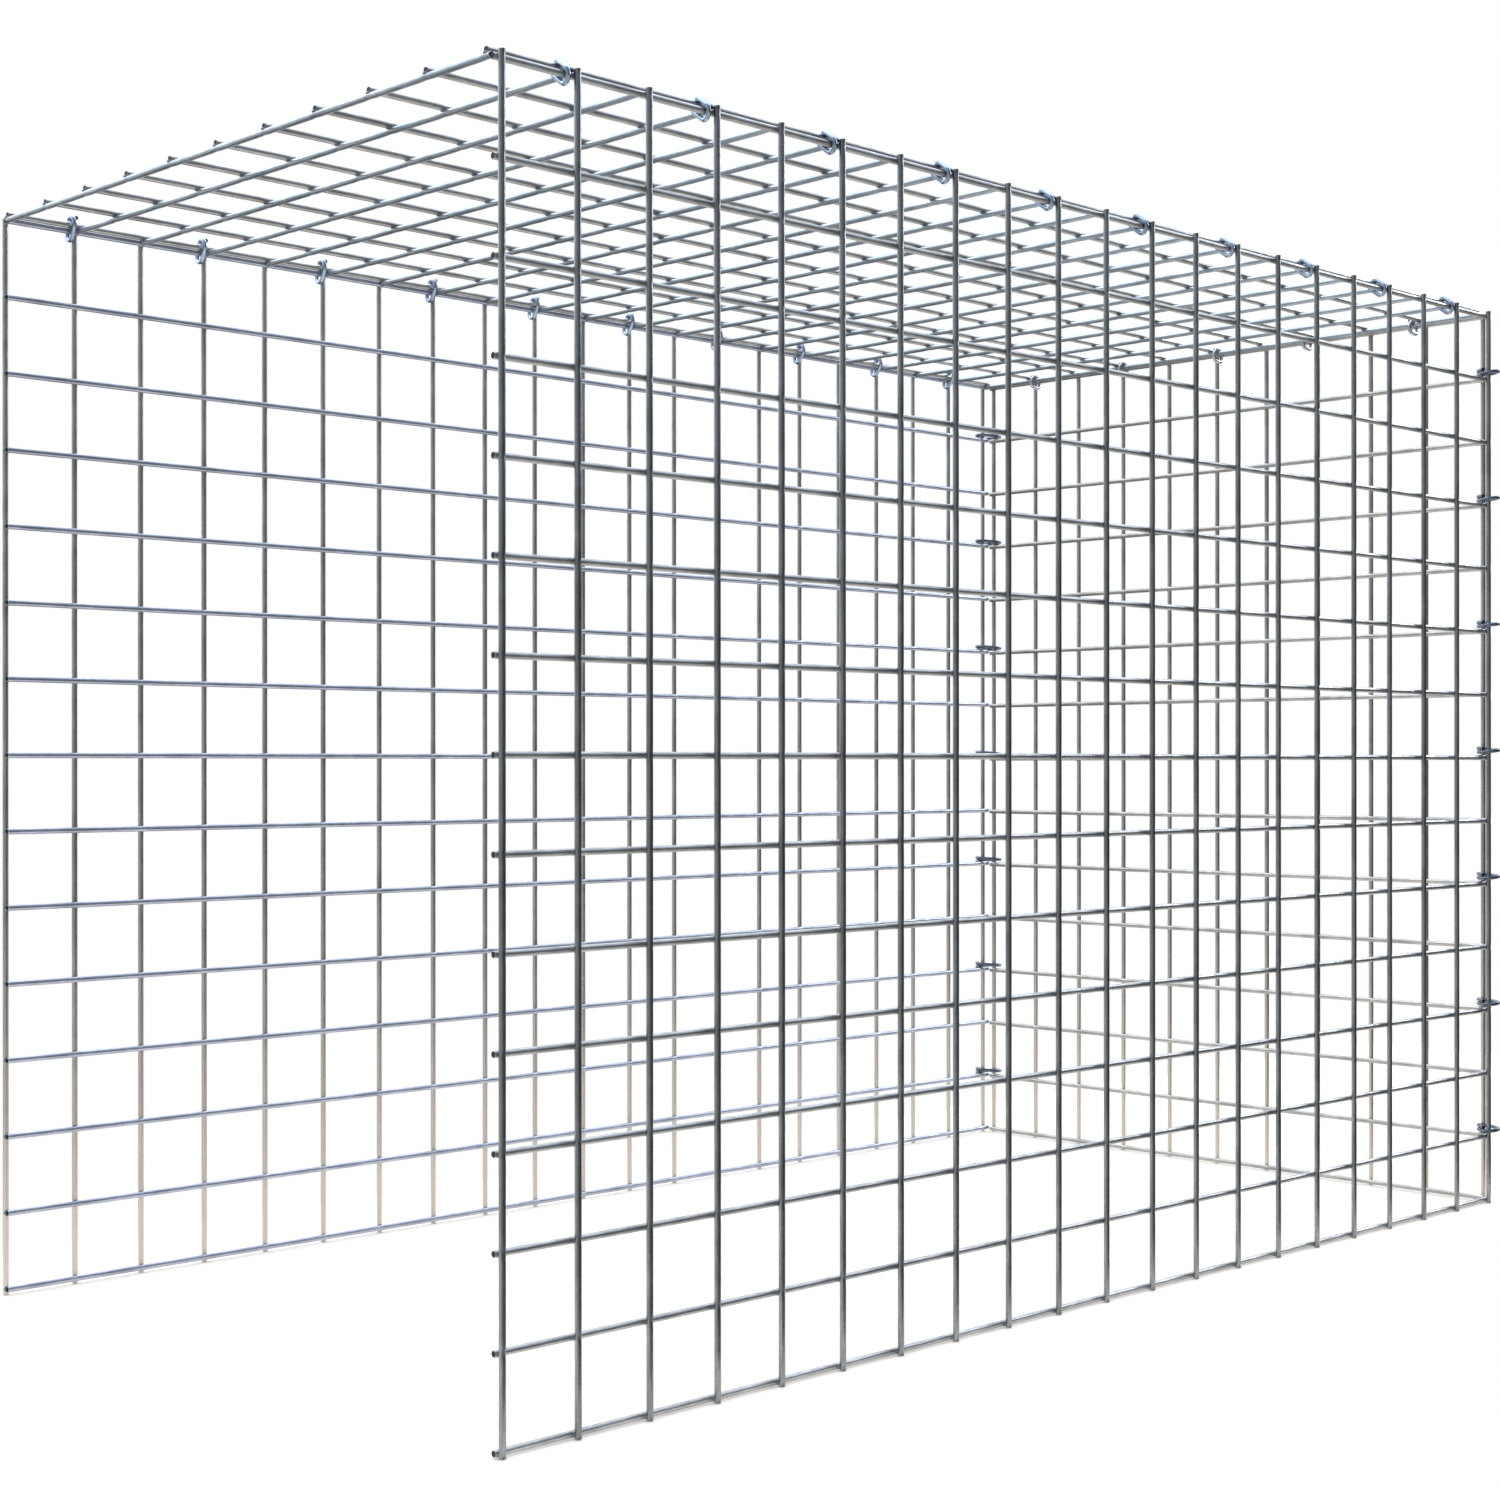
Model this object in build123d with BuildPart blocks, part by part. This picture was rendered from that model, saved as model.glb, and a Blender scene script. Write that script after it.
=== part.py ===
from build123d import *
import math
import os

os.makedirs("parts", exist_ok=True)

# Add-on gabion basket: four welded wire mesh panels tied along their edges by closed C-rings.
# Sizes are in millimetres. The origin is the centre of the front left upright's cut foot.
# X runs along the front, Y from the front to the back, and Z up.

# Mesh wire and cells
wire = 3.8
weld_sink = 0.4
layer = wire - weld_sink
pitch = 50.0
cells_long = 20
cells_deep = 10
cells_high = 14

# Uprights and rails that the three standing panels share
upright_length = 705.7
rail_overhang = 3.0

# Front panel: uprights outside, rails inside
front_x = 0.0
front_y = 0.0
front_rail_z = 2.2

# Back panel: uprights outside, rails inside
back_x = -0.8
back_y = 515.6
back_rail_z = 3.5
back_rail_y = back_y - layer
back_overhang = 0.6

# End panel: uprights outside, rails inside
end_x = 1007.0
end_y = 8.3
end_rail_z = 2.5
end_rail_x = end_x - layer
end_rail_start = 5.7
end_rail_stop = 509.9

# Lid: cross wires underneath, long wires on top
lid_x = -1.8
lid_y = 9.6
lid_long_z = 706.8
lid_cross_z = lid_long_z - layer
lid_cross_start = 5.9
lid_cross_stop = 509.9
lid_long_start = -2.5
lid_long_stop = 1001.0

# C-rings
ring_wire = 3.0
strand_gap = 0.1
grip = 0.1
front_ring_bend = 3.6
front_ring_reach = 0.5
front_ring_x = -5.35
front_ring_lap = 25.0
back_ring_bend = 4.3
back_ring_length = 19.4
back_ring_x = -5.0
back_ring_lap = 90.0
back_ring_far_lap = -40.0
end_ring_bend = 4.9
end_ring_drop = 1.2
end_ring_lap = 20.0
end_ring_offsets = (7.7, 6.4, -5.1, -5.1, -5.1)
corner_ring_bend = 6.35
front_corner_shift = 2.0
front_corner_rise = 5.8
front_corner_lap = 12.0
back_corner_length = 24.8
back_corner_rise = 3.55
back_corner_lap = 48.0

wire_radius = wire / 2
ring_radius = ring_wire / 2
hold = wire_radius + ring_radius + grip


def grid(start, count, across=0.0, swap=False):
    """Points one pitch apart along one sketch axis, for the cut ends of a row of wires."""
    if swap:
        return [(across, start + pitch * step) for step in range(count)]
    return [(start + pitch * step, across) for step in range(count)]


def between(first, second):
    """Middle, unit direction and distance of two points."""
    span = Vector(*second) - Vector(*first)
    return Vector(*first) + span * 0.5, span.normalized(), span.length


def closed_ring(centre, lap_side, normal, flat, reach, bend, lap, far_lap=None, hand=1):
    """One C-ring squeezed shut, its two strands side by side where they pass each other.

    The strands leave the middle of the side opposite the lap in two planes that lean apart,
    so that at the lap they lie next to each other with a small gap. The ring is straight for
    flat either side of the lap's middle, and for reach either side of its own middle. The far
    strand ends like the near one, or at far_lap, which is below zero where it stops on its bend.
    """
    normal = normal.normalized()
    up = (lap_side - normal * lap_side.dot(normal)).normalized()
    across = normal.cross(up)
    height = 2 * (bend + reach)
    tip_height = height - bend * (1 - math.cos(math.radians(lap)))
    lean = math.asin((ring_wire + strand_gap) / (2 * tip_height))
    start = centre - up * (height / 2)
    with BuildPart() as ring:
        for side, end in ((1, lap), (-1, lap if far_lap is None else far_lap)):
            leaning_up = up * math.cos(lean) + normal * (side * hand * math.sin(lean))
            strand = Plane(origin=start, x_dir=leaning_up, z_dir=leaning_up.cross(across * side))
            with BuildLine(strand) as path:
                if flat > 0:
                    Line((0, 0), (0, flat))
                CenterArc((bend, flat), bend, 180, -90)
                if reach > 0:
                    Line((bend, flat + bend), (bend + 2 * reach, flat + bend))
                CenterArc((bend + 2 * reach, flat), bend, 90, -90 - min(end, 0))
                if end > 0 and flat > 0:
                    Line((height, flat), (height, -flat))
                if end > 0:
                    CenterArc((bend + 2 * reach, -flat), bend, 0, -end)
            with BuildSketch(Plane(origin=start, z_dir=across * side)):
                Circle(ring_radius)
            sweep(path=path.wires()[0])
    return ring.part


def write_part(part, name):
    """Label one piece and write its file."""
    part.label = name
    export_step(part, f"parts/{name}.step")


# Front panel
with BuildPart() as front_panel:
    with BuildSketch(Plane.XY):
        with Locations(*grid(front_x, cells_long + 1, front_y)):
            Circle(wire_radius)
    extrude(amount=upright_length)
    with BuildSketch(Plane.YZ.offset(front_x - rail_overhang)):
        with Locations(*grid(front_rail_z, cells_high + 1, front_y + layer, swap=True)):
            Circle(wire_radius)
    extrude(amount=cells_long * pitch + 2 * rail_overhang)
front_panel.part.label = "front_panel"
export_step(front_panel.part, "parts/front_panel.step")

# Back panel
with BuildPart() as back_panel:
    with BuildSketch(Plane.XY):
        with Locations(*grid(back_x, cells_long + 1, back_y)):
            Circle(wire_radius)
    extrude(amount=upright_length)
    with BuildSketch(Plane.YZ.offset(back_x - back_overhang)):
        with Locations(*grid(back_rail_z, cells_high + 1, back_rail_y, swap=True)):
            Circle(wire_radius)
    extrude(amount=cells_long * pitch + back_overhang + rail_overhang)
back_panel.part.label = "back_panel"
export_step(back_panel.part, "parts/back_panel.step")

# End panel
with BuildPart() as end_panel:
    with BuildSketch(Plane.XY):
        with Locations(*grid(end_y, cells_deep + 1, end_x, swap=True)):
            Circle(wire_radius)
    extrude(amount=upright_length)
    with BuildSketch(Plane.XZ.offset(-end_rail_start)):
        with Locations(*grid(end_rail_z, cells_high + 1, end_rail_x, swap=True)):
            Circle(wire_radius)
    extrude(amount=end_rail_start - end_rail_stop)
end_panel.part.label = "end_panel"
export_step(end_panel.part, "parts/end_panel.step")

# Lid panel
with BuildPart() as lid_panel:
    with BuildSketch(Plane.XZ.offset(-lid_cross_start)):
        with Locations(*grid(lid_x, cells_long + 1, lid_cross_z)):
            Circle(wire_radius)
    extrude(amount=lid_cross_start - lid_cross_stop)
    with BuildSketch(Plane.YZ.offset(lid_long_start)):
        with Locations(*grid(lid_y, cells_deep + 1, lid_long_z)):
            Circle(wire_radius)
    extrude(amount=lid_long_stop - lid_long_start)
lid_panel.part.label = "lid_panel"
export_step(lid_panel.part, "parts/lid_panel.step")

# Rings on the front's top edge, one left of every second upright
top_rail = front_rail_z + cells_high * pitch
for count in range(cells_long // 2):
    x = front_x + pitch * (2 * count + 1) + front_ring_x
    middle, along, spread = between((x, front_y + layer, top_rail), (x, lid_y, lid_long_z))
    top_side = Vector(0, -along.Z, along.Y)
    ring = closed_ring(middle + top_side * (front_ring_bend - hold - front_ring_reach), top_side, Vector(1, 0, 0),
                       spread / 2 + hold - front_ring_bend, front_ring_reach, front_ring_bend, front_ring_lap,
                       hand=-1)
    write_part(ring, f"front_ring_{count + 1:02d}")

# Rings on the back's top edge, longer than the two wires need, one left of every second upright
top_rail = back_rail_z + cells_high * pitch
for count in range(cells_long // 2):
    x = pitch * (2 * count + 1) + back_ring_x
    middle, along, spread = between((x, back_rail_y, top_rail), (x, lid_y + cells_deep * pitch, lid_long_z))
    ring = closed_ring(middle, along, Vector(1, 0, 0), 0, back_ring_length / 2 - ring_radius - back_ring_bend,
                       back_ring_bend, back_ring_lap, back_ring_far_lap, hand=-1)
    write_part(ring, f"back_ring_{count + 1:02d}")

# Rings on the end's top edge, beside every second upright
top_rail = end_rail_z + cells_high * pitch
for count, offset_y in enumerate(end_ring_offsets):
    y = end_y + pitch * (2 * count + 1) + offset_y
    middle, along, spread = between((lid_x + cells_long * pitch, y, lid_cross_z), (end_rail_x, y, top_rail))
    top_side = Vector(-along.Z, 0, along.X)
    flat = spread / 2 - math.sqrt((end_ring_bend - hold) ** 2 - end_ring_drop ** 2)
    ring = closed_ring(middle - top_side * end_ring_drop, top_side, Vector(0, 1, 0), flat, 0, end_ring_bend,
                       end_ring_lap)
    write_part(ring, f"end_ring_{count + 1:02d}")

# Rings round the upright corner between front and end, their lap on the side of the open end
middle, along, spread = between((cells_long * pitch + front_x, front_y, 0), (end_x, end_y, 0))
open_side = Vector(-along.Y, along.X, 0)
flat = spread / 2 - math.sqrt((corner_ring_bend - hold) ** 2 - front_corner_shift ** 2)
for count in range(cells_high // 2):
    height = end_rail_z + pitch * (2 * count + 1) + front_corner_rise
    ring = closed_ring(middle - open_side * front_corner_shift + Vector(0, 0, height), open_side, Vector(0, 0, 1),
                       flat, 0, corner_ring_bend, front_corner_lap, hand=-1)
    write_part(ring, f"front_corner_ring_{count + 1:02d}")

# Rings round the upright corner between back and end, long ones that rest on every second rail
middle, along, spread = between((cells_long * pitch + back_x, back_y, 0), (end_x, end_y + cells_deep * pitch, 0))
for count in range(cells_high // 2):
    height = back_rail_z + pitch * (2 * count + 1) + back_corner_rise
    ring = closed_ring(middle + Vector(0, 0, height), along * -1, Vector(0, 0, 1), 0,
                       back_corner_length / 2 - ring_radius - corner_ring_bend, corner_ring_bend, back_corner_lap)
    write_part(ring, f"back_corner_ring_{count + 1:02d}")
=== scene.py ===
"""Looks of the welded mesh gabion basket: zinc coated wires, weld spots, sheared ends and closed C-rings."""
from __future__ import annotations

import logging
import math
from dataclasses import dataclass
from enum import Enum

import bpy
from mathutils import Matrix, Vector


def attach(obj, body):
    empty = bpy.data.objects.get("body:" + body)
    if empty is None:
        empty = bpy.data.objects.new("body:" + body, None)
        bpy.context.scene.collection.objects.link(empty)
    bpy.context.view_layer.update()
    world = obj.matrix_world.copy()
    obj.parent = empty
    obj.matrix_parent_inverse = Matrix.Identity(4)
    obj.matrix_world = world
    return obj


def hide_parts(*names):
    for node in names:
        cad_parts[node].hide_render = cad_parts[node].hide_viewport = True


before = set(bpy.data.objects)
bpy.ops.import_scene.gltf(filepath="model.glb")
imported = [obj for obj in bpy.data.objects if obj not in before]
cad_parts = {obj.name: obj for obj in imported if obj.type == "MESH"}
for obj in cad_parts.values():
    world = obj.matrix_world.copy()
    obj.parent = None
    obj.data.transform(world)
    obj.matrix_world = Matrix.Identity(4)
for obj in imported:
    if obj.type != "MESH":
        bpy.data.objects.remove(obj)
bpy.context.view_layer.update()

LOG = logging.getLogger("gabion_basket")
MM = 0.001
PITCH = 50.0


class Axis(Enum):
    """The direction in which a wire runs."""

    X = 0
    Y = 1
    Z = 2

    def vector(self) -> Vector:
        """Unit vector along this axis."""
        return Vector([1.0 if place == self.value else 0.0 for place in range(3)])


def linear(hex_colour: str) -> tuple[float, float, float, float]:
    """Turn an sRGB hex colour into linear RGBA.

    Args:
        hex_colour: Colour as "#rrggbb".

    Returns:
        Linear red, green and blue, and an alpha of one.
    """
    channels = [int(hex_colour[place:place + 2], 16) / 255 for place in (1, 3, 5)]
    toned = [value / 12.92 if value <= 0.04045 else ((value + 0.055) / 1.055) ** 2.4 for value in channels]
    return (toned[0], toned[1], toned[2], 1.0)


def add_node(tree: bpy.types.NodeTree, kind: str, settings: dict | None = None,
             inputs: dict | None = None) -> bpy.types.Node:
    """Add one node with its settings and links.

    Args:
        tree: Node tree that gets the node.
        kind: Blender's name of the node type.
        settings: Attribute names and their values.
        inputs: Socket names or numbers, each with a value or with the output socket that feeds it.

    Returns:
        The new node.
    """
    node = tree.nodes.new(kind)
    for name, value in (settings or {}).items():
        setattr(node, name, value)
    for name, value in (inputs or {}).items():
        if isinstance(value, bpy.types.NodeSocket):
            tree.links.new(value, node.inputs[name])
        else:
            node.inputs[name].default_value = value
    return node


def start_material(name: str) -> tuple[bpy.types.Material, bpy.types.NodeTree]:
    """Make an empty node material.

    Args:
        name: Name of the finish.

    Returns:
        The material and its node tree.
    """
    material = bpy.data.materials.new(name)
    material.use_nodes = True
    material.node_tree.nodes.clear()
    return material, material.node_tree


@dataclass(frozen=True)
class ZincWireFinish:
    """Drawn steel wire with a zinc coat: satin metal, streaked along the wire and finely mottled.

    The eye sees soft bright bands along each wire, broken by specks and by grey clouds of oxide.
    """

    name: str
    bright: str
    grey: str
    cloud: str
    streak_length: float = 9.0
    streak_width: float = 0.9
    mottle: float = 1.6
    cloud_size: float = 34.0
    smooth: float = 0.26
    dull: float = 0.46
    relief: float = 0.10
    # Colour of a painted warm glow of floor light near the ground; empty for none
    painted_floor_glow: str = ""
    painted_glow_height: float = 300.0

    def _painted_glow_colour(self, tree: bpy.types.NodeTree, place: bpy.types.Node,
                     colour: bpy.types.NodeSocket) -> bpy.types.NodeSocket:
        """Fade the colour to the painted warm glow of floor light towards the ground.

        Args:
            tree: Node tree of the finish.
            place: Texture coordinate node.
            colour: Colour of the wire above the painted glow.

        Returns:
            Socket with the faded colour.
        """
        height = add_node(tree, "ShaderNodeSeparateXYZ", inputs={0: place.outputs["Object"]})
        share = add_node(tree, "ShaderNodeMapRange", {"interpolation_type": "SMOOTHSTEP"},
                         {"Value": height.outputs["Z"], "From Min": self.painted_glow_height * MM, "From Max": 0.0})
        return add_node(tree, "ShaderNodeMix", {"data_type": "RGBA"},
                        {0: share.outputs[0], 6: colour, 7: linear(self.painted_floor_glow)}).outputs[2]

    def build(self, axis: Axis) -> bpy.types.Material:
        """Make the finish for wires that run along one axis.

        Args:
            axis: Direction of the streaks.

        Returns:
            The material.
        """
        material, tree = start_material(f"{self.name}_{axis.name.lower()}")
        place = add_node(tree, "ShaderNodeTexCoord")
        stretch = [1 / (self.streak_width * MM)] * 3
        stretch[axis.value] = 1 / (self.streak_length * MM)
        along = add_node(tree, "ShaderNodeMapping",
                         inputs={"Vector": place.outputs["Object"], "Scale": stretch})
        streaks = add_node(tree, "ShaderNodeTexNoise",
                           inputs={"Vector": along.outputs["Vector"], "Scale": 1.0, "Detail": 3.0,
                                   "Roughness": 0.6})
        mottle = add_node(tree, "ShaderNodeTexNoise",
                          inputs={"Vector": place.outputs["Object"], "Scale": 1 / (self.mottle * MM),
                                  "Detail": 2.0})
        clouds = add_node(tree, "ShaderNodeTexNoise",
                          inputs={"Vector": place.outputs["Object"], "Scale": 1 / (self.cloud_size * MM),
                                  "Detail": 3.0, "Roughness": 0.6})
        streak_share = add_node(tree, "ShaderNodeMapRange",
                                inputs={"Value": streaks.outputs["Fac"], "From Min": 0.35, "From Max": 0.68})
        cloud_share = add_node(tree, "ShaderNodeMapRange",
                               inputs={"Value": clouds.outputs["Fac"], "From Min": 0.42, "From Max": 0.66,
                                       "To Max": 0.8})
        mottle_share = add_node(tree, "ShaderNodeMapRange",
                                inputs={"Value": mottle.outputs["Fac"], "From Min": 0.4, "From Max": 0.7,
                                        "To Max": 0.5})
        streaked = add_node(tree, "ShaderNodeMix", {"data_type": "RGBA"},
                            {0: streak_share.outputs[0], 6: linear(self.bright), 7: linear(self.grey)})
        mottled = add_node(tree, "ShaderNodeMix", {"data_type": "RGBA"},
                           {0: mottle_share.outputs[0], 6: streaked.outputs[2], 7: linear(self.grey)})
        clouded = add_node(tree, "ShaderNodeMix", {"data_type": "RGBA"},
                           {0: cloud_share.outputs[0], 6: mottled.outputs[2], 7: linear(self.cloud)})
        colour = clouded.outputs[2]
        # Painted light: fade to a warm glow of floor light towards the ground
        if self.painted_floor_glow:
            colour = self._painted_glow_colour(tree, place, colour)
        roughness = add_node(tree, "ShaderNodeMapRange",
                             inputs={"Value": streaks.outputs["Fac"], "From Min": 0.3, "From Max": 0.7,
                                     "To Min": self.smooth, "To Max": self.dull})
        heights = add_node(tree, "ShaderNodeMath", {"operation": "ADD"},
                           {0: streaks.outputs["Fac"], 1: mottle.outputs["Fac"]})
        bump = add_node(tree, "ShaderNodeBump",
                        inputs={"Strength": 0.5, "Distance": self.relief * MM, "Height": heights.outputs[0]})
        shader = add_node(tree, "ShaderNodeBsdfPrincipled",
                          inputs={"Base Color": colour, "Metallic": 1.0,
                                  "Roughness": roughness.outputs[0], "Normal": bump.outputs["Normal"]})
        add_node(tree, "ShaderNodeOutputMaterial", inputs={"Surface": shader.outputs["BSDF"]})
        return material


@dataclass(frozen=True)
class MottledFinish:
    """Zinc that ran together, or sheared steel: rougher and darker than the wire beside it, the steel partly
    by painted shade.
    """

    name: str
    light: str
    dark: str
    grain: float = 0.9
    smooth: float = 0.4
    dull: float = 0.6
    relief: float = 0.12

    def build(self) -> bpy.types.Material:
        """Make the finish.

        Returns:
            The material.
        """
        material, tree = start_material(self.name)
        place = add_node(tree, "ShaderNodeTexCoord")
        grain = add_node(tree, "ShaderNodeTexNoise",
                         inputs={"Vector": place.outputs["Object"], "Scale": 1 / (self.grain * MM),
                                 "Detail": 3.0})
        share = add_node(tree, "ShaderNodeMapRange",
                         inputs={"Value": grain.outputs["Fac"], "From Min": 0.35, "From Max": 0.65})
        colour = add_node(tree, "ShaderNodeMix", {"data_type": "RGBA"},
                          {0: share.outputs[0], 6: linear(self.light), 7: linear(self.dark)})
        roughness = add_node(tree, "ShaderNodeMapRange",
                             inputs={"Value": grain.outputs["Fac"], "From Min": 0.35, "From Max": 0.65,
                                     "To Min": self.smooth, "To Max": self.dull})
        bump = add_node(tree, "ShaderNodeBump",
                        inputs={"Strength": 0.6, "Distance": self.relief * MM,
                                 "Height": grain.outputs["Fac"]})
        shader = add_node(tree, "ShaderNodeBsdfPrincipled",
                          inputs={"Base Color": colour.outputs[2], "Metallic": 1.0,
                                  "Roughness": roughness.outputs[0], "Normal": bump.outputs["Normal"]})
        add_node(tree, "ShaderNodeOutputMaterial", inputs={"Surface": shader.outputs["BSDF"]})
        return material


# The coats below are matched by measure to one photograph, row of wires by row of wires. The real mesh
# probably has one coat, so part of their difference is that photograph's light.
# Front uprights: the darkest row there, painted shade over a neutral grey satin coat, streaked along the wire
SHADED_UPRIGHT_ZINC = ZincWireFinish("shaded_galvanised_wire", bright="#a9acad", grey="#8f9293", cloud="#7a7d7d",
                           smooth=0.22, dull=0.36)
# Front rails: lighter, and rougher, so that the highlights spread further round the wire
CHALKY_ZINC = ZincWireFinish("chalky_galvanised_wire", bright="#c9c9c9", grey="#b0b0b0", cloud="#9b9b9b",
                             smooth=0.30, dull=0.46)
# Back and end uprights: paler, with painted warm floor light at the feet, as the back uprights look in the
# photograph
PAINTED_FLOOR_GLOW_ZINC = ZincWireFinish("painted_floor_glow_wire", bright="#cbc9c7", grey="#b2b0ae",
                                 cloud="#9e9c9a", painted_floor_glow="#d8cfc5")
# End rails and the lid's long wires: the same pale coat without the painted warm floor light at the feet
FRESH_ZINC = ZincWireFinish("fresh_galvanised_wire", bright="#cbc9c6", grey="#b2b0ad", cloud="#9e9c99")
# Back rails: blue grey from a painted reflection of cool light, and smoother
BLUE_REFLECTION_ZINC = ZincWireFinish("painted_blue_reflection_wire", bright="#c6cbd8", grey="#b0b5c3", cloud="#9da2b0",
                           smooth=0.26, dull=0.42)
# Lid's cross wires: bright with a painted cool sheen
PAINTED_SHEEN_ZINC = ZincWireFinish("painted_cool_sheen_wire", bright="#c3ccd3", grey="#a9b2b9", cloud="#949da4")
# Rings of the front and back edges: smooth, bright and bluer than the mesh
RING_ZINC = ZincWireFinish("galvanised_ring_wire", bright="#bccbdd", grey="#9aabc0", cloud="#8392a8",
                           streak_length=5.0, smooth=0.16, dull=0.30, relief=0.05)
# Rings of the end's top edge: pale and nearly neutral
PALE_RING_ZINC = ZincWireFinish("pale_ring_wire", bright="#cdd0d8", grey="#b4b8c1", cloud="#9da1aa",
                                streak_length=5.0, smooth=0.20, dull=0.34, relief=0.05)
# Rings of the upright corners: dark blue grey, painted shade
SHADED_RING_ZINC = ZincWireFinish("painted_shade_ring_wire", bright="#7d8694", grey="#626b79", cloud="#4c545f",
                                streak_length=5.0, smooth=0.22, dull=0.36, relief=0.05)
# Weld spots: zinc pooled round the spot, dull and a little darker
WELD_ZINC = MottledFinish("zinc_over_weld_spot", light="#a3a4a4", dark="#7b7b7a")
# Which coat the wires of each panel have, by the axis they run along
PANEL_FINISHES: dict[str, dict[Axis, ZincWireFinish]] = {
    "front_panel": {Axis.Z: SHADED_UPRIGHT_ZINC, Axis.X: CHALKY_ZINC},
    "back_panel": {Axis.Z: PAINTED_FLOOR_GLOW_ZINC, Axis.X: BLUE_REFLECTION_ZINC},
    "end_panel": {Axis.Z: PAINTED_FLOOR_GLOW_ZINC, Axis.Y: FRESH_ZINC},
    "lid_panel": {Axis.Y: PAINTED_SHEEN_ZINC, Axis.X: FRESH_ZINC},
}
# Which coat the rings of each edge have
RING_FINISHES: dict[str, ZincWireFinish] = {
    "front_ring": RING_ZINC,
    "back_ring": RING_ZINC,
    "end_ring": PALE_RING_ZINC,
    "front_corner_ring": SHADED_RING_ZINC,
    "back_corner_ring": SHADED_RING_ZINC,
}
# Sheared ends: torn bare steel, with painted shade that makes it nearly black
SHEARED_STEEL = MottledFinish("sheared_wire_end", light="#53565a", dark="#25272a", grain=0.5, smooth=0.45,
                              dull=0.65)


def deselect_all() -> None:
    """Go to object mode with nothing selected."""
    if bpy.context.object and bpy.context.object.mode != "OBJECT":
        bpy.ops.object.mode_set(mode="OBJECT")
    bpy.ops.object.select_all(action="DESELECT")


def select_only(piece: bpy.types.Object) -> None:
    """Select one piece and make it active.

    Args:
        piece: Object to select.
    """
    deselect_all()
    piece.select_set(True)
    bpy.context.view_layer.objects.active = piece


def start_profile(radius: float, sides: int, height: float = 0.0) -> bpy.types.Object:
    """Start a piece from a circle in the XY plane, open in edit mode with everything selected.

    Args:
        radius: Radius of the circle, in millimetres.
        sides: Number of its vertices.
        height: Height of the circle over the XY plane, in millimetres.

    Returns:
        The new piece.
    """
    deselect_all()
    bpy.ops.mesh.primitive_circle_add(vertices=sides, radius=radius * MM, fill_type="NOTHING")
    piece = bpy.context.object
    bpy.ops.object.mode_set(mode="EDIT")
    bpy.ops.mesh.select_all(action="SELECT")
    bpy.ops.transform.translate(value=(0, 0, height * MM))
    return piece


def push_loop(move: Vector, centre: Vector, stretch: tuple[float, float, float] = (1.0, 1.0, 1.0)) -> None:
    """Extrude the selected loop and scale the new one.

    Args:
        move: How far the new loop moves, in millimetres.
        centre: Centre of the new loop, in millimetres.
        stretch: Scale of the new loop against the old one.
    """
    bpy.ops.mesh.extrude_region_move(TRANSFORM_OT_translate={"value": tuple(move * MM)})
    if stretch != (1.0, 1.0, 1.0):
        bpy.ops.transform.resize(value=stretch, center_override=tuple(centre * MM))


def shear_off(piece: bpy.types.Object, centre: Vector, heading: Vector, rim: float, end_slot: int) -> None:
    """Close the selected end loop like a sheared wire: a small rolled rim and a flat torn face.

    Args:
        piece: Wire in edit mode, with its end loop selected.
        centre: Centre of the end loop, in millimetres.
        heading: Unit direction out of the end.
        rim: Length of the rolled rim, in millimetres.
        end_slot: Material slot of the torn face.
    """
    push_loop(heading * rim, centre + heading * rim, (0.88, 0.88, 0.88))
    bpy.ops.mesh.edge_face_add()
    piece.active_material_index = end_slot
    bpy.ops.object.material_slot_assign()


def select_open_edge() -> None:
    """Select the open loop of the piece in edit mode."""
    bpy.ops.mesh.select_all(action="DESELECT")
    bpy.ops.mesh.select_non_manifold()


def close_up(piece: bpy.types.Object) -> None:
    """Merge the seams, turn every face outward and go back to object mode.

    Args:
        piece: Piece in edit mode.
    """
    bpy.ops.mesh.select_all(action="SELECT")
    bpy.ops.mesh.remove_doubles(threshold=0.002 * MM)
    bpy.ops.mesh.normals_make_consistent(inside=False)
    select_only(piece)


def copy_of(piece: bpy.types.Object, matrix: Matrix, name: str) -> bpy.types.Object:
    """Copy a piece with a mesh of its own, its place kept in the mesh.

    Args:
        piece: Piece to copy.
        matrix: Place of the copy.
        name: Name of the copy.

    Returns:
        The copy.
    """
    twin = piece.copy()
    twin.data = piece.data.copy()
    twin.name = name
    twin.data.name = name
    bpy.context.collection.objects.link(twin)
    twin.data.transform(matrix)
    return twin


def join(pieces: list[bpy.types.Object], name: str) -> bpy.types.Object:
    """Join pieces into one.

    Args:
        pieces: Objects to join.
        name: Name of the joined piece.

    Returns:
        The joined piece.
    """
    select_only(pieces[0])
    for piece in pieces[1:]:
        piece.select_set(True)
    bpy.ops.object.join()
    pieces[0].name = name
    pieces[0].data.name = name
    return pieces[0]


def repeat(piece: bpy.types.Object, count: int, step: Vector) -> None:
    """Repeat a piece in a row with an applied Array modifier.

    Args:
        piece: Piece to repeat.
        count: How many stand in the row.
        step: Distance from one to the next, in millimetres.
    """
    select_only(piece)
    row = piece.modifiers.new("row", "ARRAY")
    row.count = count
    row.use_relative_offset = False
    row.use_constant_offset = True
    row.constant_offset_displace = step * MM
    bpy.ops.object.modifier_apply(modifier=row.name)


def shade(piece: bpy.types.Object) -> None:
    """Shade a piece smooth except at its sharp rims.

    Args:
        piece: Piece to shade.
    """
    select_only(piece)
    bpy.ops.object.shade_smooth_by_angle(angle=math.radians(38))


def place(origin: Vector, x_dir: Vector, y_dir: Vector, z_dir: Vector) -> Matrix:
    """Matrix that puts a piece with its axes along three directions.

    Args:
        origin: Where the piece's origin goes, in millimetres.
        x_dir: Direction of its X axis.
        y_dir: Direction of its Y axis.
        z_dir: Direction of its Z axis.

    Returns:
        The matrix, in metres.
    """
    turn = Matrix((x_dir, y_dir, z_dir)).transposed().to_4x4()
    return Matrix.Translation(origin * MM) @ turn


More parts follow.
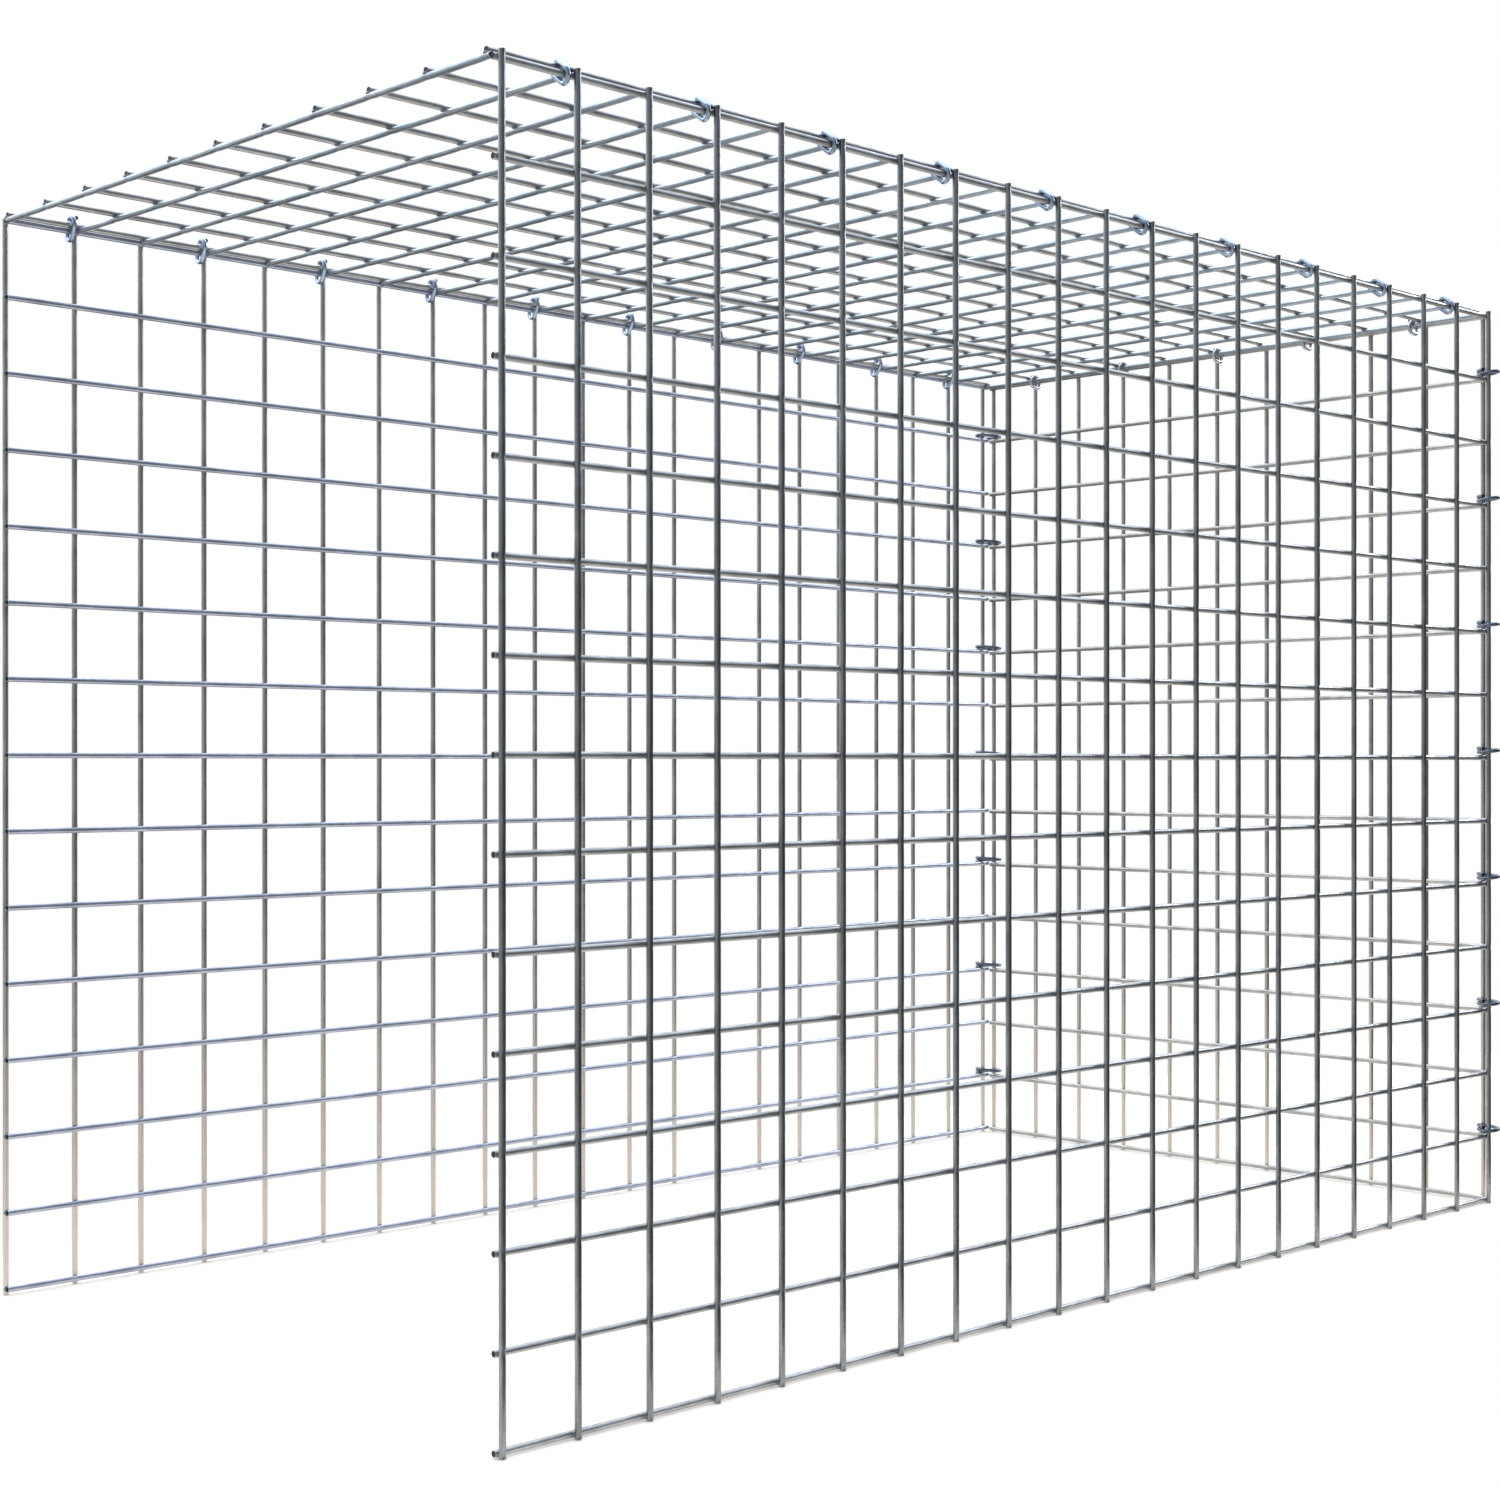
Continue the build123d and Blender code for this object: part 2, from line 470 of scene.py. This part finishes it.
@dataclass
class WireRow:
    """One layer of a mesh panel: equal parallel wires, each welded to the other layer at every crossing.

    Lengths are in millimetres.
    """

    axis: Axis
    spread: Axis
    start: Vector
    length: float
    count: int
    first_weld: float
    welds: int
    weld_side: Vector
    wire: float = 3.8
    sides: int = 16
    rim: float = 0.25
    dip: float = 0.12
    neck_dip: float = 0.072
    press: float = 0.95
    swell: float = 1.04
    calm_reach: float = 6.0
    neck_reach: float = 2.6
    weld_reach: float = 1.3

    def stations(self) -> list[tuple[float, float, float, float]]:
        """List the loops along the wire.

        Returns:
            For each loop its distance from the start, its dip towards the weld, its thickness and its width.
        """
        loops = []
        for weld in range(self.welds):
            middle = self.first_weld + weld * PITCH
            loops += [(middle - self.calm_reach, 0.0, 1.0, 1.0),
                      (middle - self.neck_reach, self.neck_dip, 1.0, 1.0),
                      (middle - self.weld_reach, self.dip, self.press, self.swell),
                      (middle + self.weld_reach, self.dip, self.press, self.swell),
                      (middle + self.neck_reach, self.neck_dip, 1.0, 1.0),
                      (middle + self.calm_reach, 0.0, 1.0, 1.0)]
        inside = [loop for loop in loops if 2 * self.rim < loop[0] < self.length - 2 * self.rim]
        return inside + [(self.length - self.rim, 0.0, 1.0, 1.0)]

    def build(self, finishes: list[bpy.types.Material]) -> bpy.types.Object:
        """Model one wire upright with its welds towards X, put it in place and repeat it.

        Args:
            finishes: Finish of the wire and of its sheared ends.

        Returns:
            All wires of the row as one piece.
        """
        piece = start_profile(self.wire / 2, self.sides, self.rim)
        for finish in finishes:
            piece.data.materials.append(finish)
        reached, dipped, thick, wide = self.rim, 0.0, 1.0, 1.0
        for distance, dip, thickness, width in self.stations():
            push_loop(Vector((dip - dipped, 0, distance - reached)), Vector((dip, 0, distance)),
                      (thickness / thick, width / wide, 1.0))
            reached, dipped, thick, wide = distance, dip, thickness, width
        shear_off(piece, Vector((0, 0, reached)), Vector((0, 0, 1)), self.rim, 1)
        select_open_edge()
        shear_off(piece, Vector((0, 0, self.rim)), Vector((0, 0, -1)), self.rim, 1)
        close_up(piece)
        along = self.axis.vector()
        piece.data.transform(place(self.start, self.weld_side, along.cross(self.weld_side), along))
        repeat(piece, self.count, self.spread.vector() * PITCH)
        return piece


@dataclass
class WeldGrid:
    """The zinc that pooled round every weld spot between the two layers of a panel.

    Lengths are in millimetres.
    """

    first: Vector
    along: Axis
    count_along: int
    up: Axis
    count_up: int
    sides: int = 10
    core: float = 1.5
    lip: float = 2.1
    core_height: float = 0.8
    lip_height: float = 0.32

    def build(self, finish: bpy.types.Material) -> bpy.types.Object:
        """Model one pool as a flat lens between the wires and repeat it over the grid.

        Args:
            finish: Finish of the pooled zinc.

        Returns:
            All pools as one piece.
        """
        piece = start_profile(self.core, self.sides, -self.core_height)
        piece.data.materials.append(finish)
        bpy.ops.mesh.edge_face_add()
        wider = self.lip / self.core
        push_loop(Vector((0, 0, self.core_height - self.lip_height)), Vector((0.1, 0, -self.lip_height)),
                  (wider * 1.04, wider * 0.97, 1.0))
        push_loop(Vector((0, 0, 2 * self.lip_height)), Vector((0, 0, self.lip_height)), (0.98, 1.03, 1.0))
        push_loop(Vector((0, 0, self.core_height - self.lip_height)), Vector((0, 0.1, self.core_height)),
                  (1 / wider, 1 / wider, 1.0))
        close_up(piece)
        along, up = self.along.vector(), self.up.vector()
        piece.data.transform(place(self.first, along, up, along.cross(up)))
        repeat(piece, self.count_along, along * PITCH)
        repeat(piece, self.count_up, up * PITCH)
        return piece


@dataclass
class MeshPanel:
    """A flat panel of welded wire mesh: an outer row of wires, an inner row across it, and their welds."""

    node: str
    rows: list[WireRow]
    welds: WeldGrid

    def build(self, wire_finishes: dict[Axis, bpy.types.Material], weld_finish: bpy.types.Material,
              end_finish: bpy.types.Material) -> bpy.types.Object:
        """Build the panel as one piece in place of its CAD node.

        Args:
            wire_finishes: Finish of the wires that run along each axis.
            weld_finish: Finish of the weld spots.
            end_finish: Finish of the sheared ends.

        Returns:
            The panel.
        """
        parts = [row.build([wire_finishes[row.axis], end_finish]) for row in self.rows]
        parts.append(self.welds.build(weld_finish))
        panel = join(parts, f"{self.node}_mesh")
        shade(panel)
        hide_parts(self.node)
        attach(panel, "root")
        return panel


@dataclass
class ClosedRing:
    """A C-ring clinched shut, its two strands side by side where they pass each other.

    The ring stands on its origin with X up to the lap and Z along the wires it holds. The far strand ends like
    the near one, or at far_lap, which is below zero where it stops on its bend. Lengths are in millimetres.
    """

    bend: float
    flat: float
    reach: float
    lap: float
    far_lap: float | None = None
    hand: int = 1
    wire: float = 3.0
    strand_gap: float = 0.1
    sides: int = 16
    rim: float = 0.3
    bend_steps: int = 9

    def height(self) -> float:
        """Distance between the middles of the ring's two long sides."""
        return 2 * (self.bend + self.reach)

    def lean(self) -> float:
        """Angle by which each strand leans out of the ring's plane."""
        tip_height = self.height() - self.bend * (1 - math.cos(math.radians(self.lap)))
        return math.asin((self.wire + self.strand_gap) / (2 * tip_height))

    def _turn_round(self, centre: Vector, degrees: float) -> None:
        """Spin the selected loop about a bend's centre.

        Args:
            centre: Centre of the bend, in millimetres.
            degrees: Angle of the bend.
        """
        steps = max(2, round(self.bend_steps * degrees / 90))
        bpy.ops.mesh.spin(steps=steps, angle=math.radians(degrees), center=tuple(centre * MM), axis=(0, 0, 1))

    def _strand(self, finishes: list[bpy.types.Material], lap: float) -> bpy.types.Object:
        """Model one strand with spins and extrusions.

        Args:
            finishes: Finish of the ring and of its sheared tips.
            lap: Angle at which the strand ends.

        Returns:
            The strand.
        """
        tilt = -self.hand * self.lean()
        piece = start_profile(self.wire / 2, self.sides)
        for finish in finishes:
            piece.data.materials.append(finish)
        bpy.ops.transform.rotate(value=math.radians(90), orient_axis="X", center_override=(0, 0, 0))
        bpy.ops.transform.rotate(value=tilt, orient_axis="Y", center_override=(0, 0, 0))
        if self.flat > 0:
            push_loop(Vector((0, self.flat, 0)), Vector((0, self.flat, 0)))
        self._turn_round(Vector((self.bend, self.flat, 0)), 90)
        if self.reach > 0:
            push_loop(Vector((2 * self.reach, 0, 0)), Vector((0, 0, 0)))
        self._turn_round(Vector((self.bend + 2 * self.reach, self.flat, 0)), 90 + min(lap, 0))
        if lap > 0 and self.flat > 0:
            push_loop(Vector((0, -2 * self.flat, 0)), Vector((0, 0, 0)))
        far = Vector((self.bend + 2 * self.reach, math.copysign(self.flat, -lap), 0))
        if lap > 0:
            self._turn_round(far, lap)
        angle = math.radians(lap)
        tip = far + Vector((math.cos(angle), -math.sin(angle), 0)) * self.bend
        shear_off(piece, tip, Vector((-math.sin(angle), -math.cos(angle), 0)), self.rim, 1)
        select_only(piece)
        piece.data.transform(Matrix.Rotation(tilt, 4, "Y"))
        return piece

    def build(self, finishes: list[bpy.types.Material]) -> bpy.types.Object:
        """Model both strands, turn the far one round and join them.

        Args:
            finishes: Finish of the ring and of its sheared tips.

        Returns:
            The ring.
        """
        near = self._strand(finishes, self.lap)
        far = self._strand(finishes, self.lap if self.far_lap is None else self.far_lap)
        far.data.transform(Matrix.Rotation(math.pi, 4, "X"))
        ring = join([near, far], "closed_ring")
        bpy.ops.object.mode_set(mode="EDIT")
        close_up(ring)
        shade(ring)
        return ring


@dataclass
class RingFamily:
    """Equal rings along one edge of the basket, each in place of its CAD node."""

    name: str
    shape: ClosedRing
    starts: list[Vector]
    up: Vector
    along: Vector

    def build(self, finishes: list[bpy.types.Material]) -> list[bpy.types.Object]:
        """Model one ring and copy it to every place of the family.

        Args:
            finishes: Finish of the rings and of their sheared tips.

        Returns:
            The rings.
        """
        master = self.shape.build(finishes)
        rings = []
        for count, start in enumerate(self.starts):
            node = f"{self.name}_{count + 1:02d}"
            ring = copy_of(master, place(start, self.up, self.along.cross(self.up), self.along),
                           f"{node}_wire")
            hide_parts(node)
            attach(ring, "root")
            rings.append(ring)
        bpy.data.objects.remove(master)
        return rings


def middle_line(first: Vector, second: Vector) -> tuple[Vector, Vector, float]:
    """Find the middle, the unit direction and the distance of two points.

    Args:
        first: First point.
        second: Second point.

    Returns:
        Middle, direction and distance.
    """
    span = second - first
    return (first + second) / 2, span.normalized(), span.length


@dataclass
class Basket:
    """Places of the basket's panels and rings. Lengths are in millimetres."""

    layer: float = 3.4
    cells_long: int = 20
    cells_deep: int = 10
    cells_high: int = 14
    upright_length: float = 705.7
    hold: float = 3.5
    ring_radius: float = 1.5
    front_rail_z: float = 2.2
    front_rail_start: float = -3.0
    front_rail_stop: float = 1003.0
    back_x: float = -0.8
    back_y: float = 515.6
    back_rail_z: float = 3.5
    back_rail_start: float = -1.4
    back_rail_stop: float = 1002.2
    end_x: float = 1007.0
    end_y: float = 8.3
    end_rail_z: float = 2.5
    end_rail_start: float = 5.7
    end_rail_stop: float = 509.9
    lid_x: float = -1.8
    lid_y: float = 9.6
    lid_long_z: float = 706.8
    lid_long_start: float = -2.5
    lid_long_stop: float = 1001.0
    lid_cross_start: float = 5.9
    lid_cross_stop: float = 509.9

    def edge_pitch(self, count: int) -> float:
        """Distance along an edge from its first wire to the ring beside every second wire."""
        return PITCH * (2 * count + 1)

    def standing_panel(self, node: str, first_x: float, depth: float, rail_depth: float, rail_z: float,
                       rail_start: float, rail_stop: float) -> MeshPanel:
        """Describe the front or the back panel.

        Args:
            node: CAD node of the panel.
            first_x: Where the first upright stands.
            depth: Where the uprights stand from front to back.
            rail_depth: Where the rails run from front to back.
            rail_z: Height of the lowest rail.
            rail_start: Where the rails begin.
            rail_stop: Where the rails end.

        Returns:
            The panel.
        """
        inward = Vector((0, math.copysign(1, rail_depth - depth), 0))
        uprights = WireRow(Axis.Z, Axis.X, Vector((first_x, depth, 0)), self.upright_length,
                           self.cells_long + 1, rail_z, self.cells_high + 1, inward)
        rails = WireRow(Axis.X, Axis.Z, Vector((rail_start, rail_depth, rail_z)), rail_stop - rail_start,
                        self.cells_high + 1, first_x - rail_start, self.cells_long + 1, -inward)
        welds = WeldGrid(Vector((first_x, (depth + rail_depth) / 2, rail_z)), Axis.X, self.cells_long + 1,
                         Axis.Z, self.cells_high + 1)
        return MeshPanel(node, [uprights, rails], welds)

    def end_panel(self) -> MeshPanel:
        """Describe the end panel."""
        rail_x = self.end_x - self.layer
        uprights = WireRow(Axis.Z, Axis.Y, Vector((self.end_x, self.end_y, 0)), self.upright_length,
                           self.cells_deep + 1, self.end_rail_z, self.cells_high + 1, Vector((-1, 0, 0)))
        rails = WireRow(Axis.Y, Axis.Z, Vector((rail_x, self.end_rail_start, self.end_rail_z)),
                        self.end_rail_stop - self.end_rail_start, self.cells_high + 1,
                        self.end_y - self.end_rail_start, self.cells_deep + 1, Vector((1, 0, 0)))
        welds = WeldGrid(Vector(((self.end_x + rail_x) / 2, self.end_y, self.end_rail_z)), Axis.Y,
                         self.cells_deep + 1, Axis.Z, self.cells_high + 1)
        return MeshPanel("end_panel", [uprights, rails], welds)

    def lid_panel(self) -> MeshPanel:
        """Describe the lid, cross wires underneath and long wires on top."""
        cross_z = self.lid_long_z - self.layer
        cross = WireRow(Axis.Y, Axis.X, Vector((self.lid_x, self.lid_cross_start, cross_z)),
                        self.lid_cross_stop - self.lid_cross_start, self.cells_long + 1,
                        self.lid_y - self.lid_cross_start, self.cells_deep + 1, Vector((0, 0, 1)))
        long_wires = WireRow(Axis.X, Axis.Y, Vector((self.lid_long_start, self.lid_y, self.lid_long_z)),
                             self.lid_long_stop - self.lid_long_start, self.cells_deep + 1,
                             self.lid_x - self.lid_long_start, self.cells_long + 1, Vector((0, 0, -1)))
        welds = WeldGrid(Vector((self.lid_x, self.lid_y, (self.lid_long_z + cross_z) / 2)), Axis.X,
                         self.cells_long + 1, Axis.Y, self.cells_deep + 1)
        return MeshPanel("lid_panel", [cross, long_wires], welds)

    def panels(self) -> list[MeshPanel]:
        """List the four panels."""
        front = self.standing_panel("front_panel", 0.0, 0.0, self.layer, self.front_rail_z,
                                    self.front_rail_start, self.front_rail_stop)
        back = self.standing_panel("back_panel", self.back_x, self.back_y, self.back_y - self.layer,
                                   self.back_rail_z, self.back_rail_start, self.back_rail_stop)
        return [front, back, self.end_panel(), self.lid_panel()]

    def front_rings(self) -> RingFamily:
        """Describe the rings on the front's top edge."""
        bend, reach, offset, lap = 3.6, 0.5, -5.35, 25
        top_rail = self.front_rail_z + self.cells_high * PITCH
        middle, along, spread = middle_line(Vector((0, self.layer, top_rail)),
                                            Vector((0, self.lid_y, self.lid_long_z)))
        up = Vector((0, -along.z, along.y))
        shape = ClosedRing(bend, spread / 2 + self.hold - bend, reach, lap, hand=-1)
        base = middle + up * (bend - self.hold - reach - shape.height() / 2)
        starts = [base + Vector((self.edge_pitch(count) + offset, 0, 0))
                  for count in range(self.cells_long // 2)]
        return RingFamily("front_ring", shape, starts, up, Vector((1, 0, 0)))

    def back_rings(self) -> RingFamily:
        """Describe the rings on the back's top edge, longer than the two wires need."""
        bend, length, offset, lap, far_lap = 4.3, 19.4, -5.0, 90, -40
        top_rail = self.back_rail_z + self.cells_high * PITCH
        last_long_wire = self.lid_y + self.cells_deep * PITCH
        middle, along, _ = middle_line(Vector((0, self.back_y - self.layer, top_rail)),
                                       Vector((0, last_long_wire, self.lid_long_z)))
        shape = ClosedRing(bend, 0, length / 2 - self.ring_radius - bend, lap, far_lap=far_lap, hand=-1)
        base = middle - along * (shape.height() / 2)
        starts = [base + Vector((self.edge_pitch(count) + offset, 0, 0))
                  for count in range(self.cells_long // 2)]
        return RingFamily("back_ring", shape, starts, along, Vector((1, 0, 0)))

    def end_rings(self) -> RingFamily:
        """Describe the rings on the end's top edge."""
        bend, drop, lap = 4.9, 1.2, 20
        offsets = (7.7, 6.4, -5.1, -5.1, -5.1)
        last_cross_wire = self.lid_x + self.cells_long * PITCH
        top_rail = self.end_rail_z + self.cells_high * PITCH
        middle, along, spread = middle_line(Vector((last_cross_wire, 0, self.lid_long_z - self.layer)),
                                            Vector((self.end_x - self.layer, 0, top_rail)))
        up = Vector((-along.z, 0, along.x))
        shape = ClosedRing(bend, spread / 2 - math.sqrt((bend - self.hold) ** 2 - drop ** 2), 0, lap)
        base = middle - up * (drop + shape.height() / 2)
        starts = [base + Vector((0, self.end_y + self.edge_pitch(count) + offset, 0))
                  for count, offset in enumerate(offsets)]
        return RingFamily("end_ring", shape, starts, up, Vector((0, 1, 0)))

    def front_corner_rings(self) -> RingFamily:
        """Describe the rings round the upright corner between front and end."""
        bend, shift, rise, lap = 6.35, 2.0, 5.8, 12
        middle, along, spread = middle_line(Vector((self.cells_long * PITCH, 0, 0)),
                                            Vector((self.end_x, self.end_y, 0)))
        up = Vector((-along.y, along.x, 0))
        flat = spread / 2 - math.sqrt((bend - self.hold) ** 2 - shift ** 2)
        shape = ClosedRing(bend, flat, 0, lap, hand=-1)
        base = middle - up * (shift + shape.height() / 2)
        starts = [base + Vector((0, 0, self.end_rail_z + self.edge_pitch(count) + rise))
                  for count in range(self.cells_high // 2)]
        return RingFamily("front_corner_ring", shape, starts, up, Vector((0, 0, 1)))

    def back_corner_rings(self) -> RingFamily:
        """Describe the long rings round the upright corner between back and end."""
        bend, length, rise, lap = 6.35, 24.8, 3.55, 48
        middle, along, _ = middle_line(Vector((self.back_x + self.cells_long * PITCH, self.back_y, 0)),
                                       Vector((self.end_x, self.end_y + self.cells_deep * PITCH, 0)))
        shape = ClosedRing(bend, 0, length / 2 - self.ring_radius - bend, lap)
        base = middle + along * (shape.height() / 2)
        starts = [base + Vector((0, 0, self.back_rail_z + self.edge_pitch(count) + rise))
                  for count in range(self.cells_high // 2)]
        return RingFamily("back_corner_ring", shape, starts, -along, Vector((0, 0, 1)))

    def ring_families(self) -> list[RingFamily]:
        """List the five families of rings."""
        return [self.front_rings(), self.back_rings(), self.end_rings(), self.front_corner_rings(),
                self.back_corner_rings()]


@dataclass
class Studio:
    """Camera, white floor, soft lamps and the light tent that the metal mirrors. Lengths are in metres."""

    camera_place: Vector
    yaw: float = 46.0426
    pitch: float = -0.0297
    roll: float = 0.0275
    lens: float = 57.143
    shift: tuple[float, float] = (0.02525, 0.0101)
    floor_long: float = 2.6
    floor_deep: float = 0.72
    floor_lift: float = 0.16
    even_light: float = 0.95
    top_boost: float = 1.8
    side_boost: float = 3.0

    def build_camera(self) -> None:
        """Put the camera where the fit to the photograph's wires has it."""
        data = bpy.data.cameras.new("photo_camera")
        data.lens = self.lens
        data.sensor_width = 36.0
        data.shift_x, data.shift_y = self.shift
        data.clip_start, data.clip_end = 0.05, 200.0
        data.dof.use_dof = False
        camera = bpy.data.objects.new("photo_camera", data)
        camera.location = self.camera_place
        camera.rotation_euler = (math.radians(90 + self.pitch), math.radians(self.roll),
                                 math.radians(self.yaw - 90))
        bpy.context.scene.collection.objects.link(camera)
        bpy.context.scene.camera = camera

    def build_floor(self) -> None:
        """Lay the pale floor just under the feet; the camera sees it white, with the basket's soft shadow."""
        deselect_all()
        bpy.ops.mesh.primitive_plane_add(size=1.0, location=(0.6, 0.28, -0.0005))
        floor = bpy.context.object
        floor.scale = (self.floor_long, self.floor_deep, 1.0)
        floor.name = "floor"
        material, tree = start_material("pale_floor")
        matte = add_node(tree, "ShaderNodeBsdfDiffuse", inputs={"Color": linear("#fbf9f6")})
        path = add_node(tree, "ShaderNodeLightPath")
        mirrored = add_node(tree, "ShaderNodeMath", {"operation": "MAXIMUM"},
                            {0: path.outputs["Is Glossy Ray"], 1: path.outputs["Is Transmission Ray"]})
        lifted = add_node(tree, "ShaderNodeMath", {"operation": "MAXIMUM"},
                          {0: path.outputs["Is Camera Ray"], 1: mirrored.outputs[0]})
        lift = add_node(tree, "ShaderNodeMath", {"operation": "MULTIPLY"},
                        {0: lifted.outputs[0], 1: self.floor_lift})
        glow = add_node(tree, "ShaderNodeEmission",
                        inputs={"Color": linear("#ffffff"), "Strength": lift.outputs[0]})
        both = add_node(tree, "ShaderNodeAddShader", inputs={0: matte.outputs[0], 1: glow.outputs[0]})
        add_node(tree, "ShaderNodeOutputMaterial", inputs={"Surface": both.outputs[0]})
        floor.data.materials.append(material)

    def _toward(self, tree: bpy.types.NodeTree, direction: bpy.types.NodeSocket, azimuth: float,
                elevation: float, start: float, stop: float) -> bpy.types.NodeSocket:
        """Share from zero to one that grows towards one direction of the tent.

        Args:
            tree: Node tree of the world.
            direction: Socket with the direction looked at.
            azimuth: Azimuth of the middle, in degrees from X towards Y.
            elevation: Elevation of the middle, in degrees.
            start: Cosine at which the share leaves zero.
            stop: Cosine at which it reaches one.

        Returns:
            Socket with the share.
        """
        side, rise = math.radians(azimuth), math.radians(elevation)
        middle = (math.cos(side) * math.cos(rise), math.sin(side) * math.cos(rise), math.sin(rise))
        cosine = add_node(tree, "ShaderNodeVectorMath", {"operation": "DOT_PRODUCT"},
                          {0: direction, 1: middle})
        share = add_node(tree, "ShaderNodeMapRange", {"interpolation_type": "SMOOTHSTEP"},
                         {"Value": cosine.outputs["Value"], "From Min": start, "From Max": stop})
        return share.outputs[0]

    def _blend(self, tree: bpy.types.NodeTree, share: bpy.types.NodeSocket, low: bpy.types.NodeSocket | str,
               high: bpy.types.NodeSocket | str) -> bpy.types.NodeSocket:
        """Blend two colours of the tent.

        Args:
            tree: Node tree of the world.
            share: Socket with the share of the second colour.
            low: First colour, a socket or a hex colour.
            high: Second colour, a socket or a hex colour.

        Returns:
            Socket with the blended colour.
        """
        ends = [value if isinstance(value, bpy.types.NodeSocket) else linear(value) for value in (low, high)]
        blend = add_node(tree, "ShaderNodeMix", {"data_type": "RGBA"}, {0: share, 6: ends[0], 7: ends[1]})
        return blend.outputs[2]

    def build_world(self) -> None:
        """Surround the basket: white for the camera, a soft tent for the metal, even light for the rest."""
        world = bpy.data.worlds.new("light_tent")
        bpy.context.scene.world = world
        world.use_nodes = True
        tree = world.node_tree
        tree.nodes.clear()
        direction = add_node(tree, "ShaderNodeTexCoord").outputs["Generated"]
        walls = self._blend(tree, self._toward(tree, direction, 145, 0, -0.7, 0.6), "#3f4040", "#b8b9bc")
        walls = self._blend(tree, self._toward(tree, direction, 75, 0, 0.35, 0.85), walls, "#ffffff")
        roof = self._blend(tree, self._toward(tree, direction, 100, 0, -0.5, 0.4), "#8793a4", "#e9eff5")
        tent = self._blend(tree, self._toward(tree, direction, 0, 90, 0.05, 0.40), walls, roof)
        ground = self._blend(tree, self._toward(tree, direction, 82, -38, 0.45, 0.95), "#d2d1cf", "#484a4c")
        tent = self._blend(tree, self._toward(tree, direction, 0, -90, 0.20, 0.55), tent, ground)
        top_light = self._toward(tree, direction, 98, 46, 0.66, 0.93)
        side_light = self._toward(tree, direction, -2, 38, 0.83, 0.96)
        side = add_node(tree, "ShaderNodeMath", {"operation": "MULTIPLY_ADD"},
                        {0: side_light, 1: self.side_boost, 2: 1.0})
        strength = add_node(tree, "ShaderNodeMath", {"operation": "MULTIPLY_ADD"},
                            {0: top_light, 1: self.top_boost, 2: side.outputs[0]})
        path = add_node(tree, "ShaderNodeLightPath")
        mirrored = add_node(tree, "ShaderNodeMath", {"operation": "MAXIMUM"},
                            {0: path.outputs["Is Glossy Ray"], 1: path.outputs["Is Transmission Ray"]})
        even = add_node(tree, "ShaderNodeBackground",
                        inputs={"Color": linear("#ffffff"), "Strength": self.even_light})
        tent_light = add_node(tree, "ShaderNodeBackground",
                              inputs={"Color": tent, "Strength": strength.outputs[0]})
        white = add_node(tree, "ShaderNodeBackground", inputs={"Color": linear("#ffffff"), "Strength": 1.0})
        not_seen = add_node(tree, "ShaderNodeMixShader",
                            inputs={0: mirrored.outputs[0], 1: even.outputs[0], 2: tent_light.outputs[0]})
        seen = add_node(tree, "ShaderNodeMixShader",
                        inputs={0: path.outputs["Is Camera Ray"], 1: not_seen.outputs[0],
                                 2: white.outputs[0]})
        add_node(tree, "ShaderNodeOutputWorld", inputs={"Surface": seen.outputs[0]})

    def build_lamp(self, name: str, spot: Vector, aim: Vector, size: float, power: float,
                   colour: str) -> None:
        """Hang one soft square lamp.

        Args:
            name: Name of the lamp.
            spot: Where it hangs.
            aim: Point it faces.
            size: Edge length.
            power: Light in watts.
            colour: Colour of the light.
        """
        data = bpy.data.lights.new(name, "AREA")
        data.shape = "SQUARE"
        data.size = size
        data.energy = power
        data.color = linear(colour)[:3]
        lamp = bpy.data.objects.new(name, data)
        lamp.location = spot
        lamp.rotation_euler = (aim - spot).to_track_quat("-Z", "Y").to_euler()
        bpy.context.scene.collection.objects.link(lamp)

    def build(self) -> None:
        """Build camera, floor, world and lamps."""
        self.build_camera()
        self.build_floor()
        self.build_world()
        middle = Vector((0.5, 0.25, 0.35))
        self.build_lamp("top_lamp", Vector((0.2, 0.3, 3.2)), middle, 2.0, 16.0, "#f4f8ff")
        self.build_lamp("right_rim_lamp", Vector((3.4, -0.6, 1.7)), middle, 0.9, 18.0, "#ffffff")
        scene = bpy.context.scene
        scene.view_settings.view_transform = "Standard"


def main() -> None:
    """Build the basket piece by piece, then the studio."""
    logging.basicConfig(level=logging.INFO, format="%(message)s")
    weld_finish = WELD_ZINC.build()
    end_finish = SHEARED_STEEL.build()
    basket = Basket()
    for panel in basket.panels():
        wires = {axis: finish.build(axis) for axis, finish in PANEL_FINISHES[panel.node].items()}
        piece = panel.build(wires, weld_finish, end_finish)
        LOG.info("%s with %d faces", piece.name, len(piece.data.polygons))
    for family in basket.ring_families():
        axis = Axis([abs(value) for value in family.along].index(1.0))
        rings = family.build([RING_FINISHES[family.name].build(axis), end_finish])
        LOG.info("%s: %d rings of %d faces", family.name, len(rings), len(rings[0].data.polygons))
    Studio(camera_place=Vector((-0.7512356, -0.9304689, 0.3476113))).build()


if __name__ == "__main__":
    main()
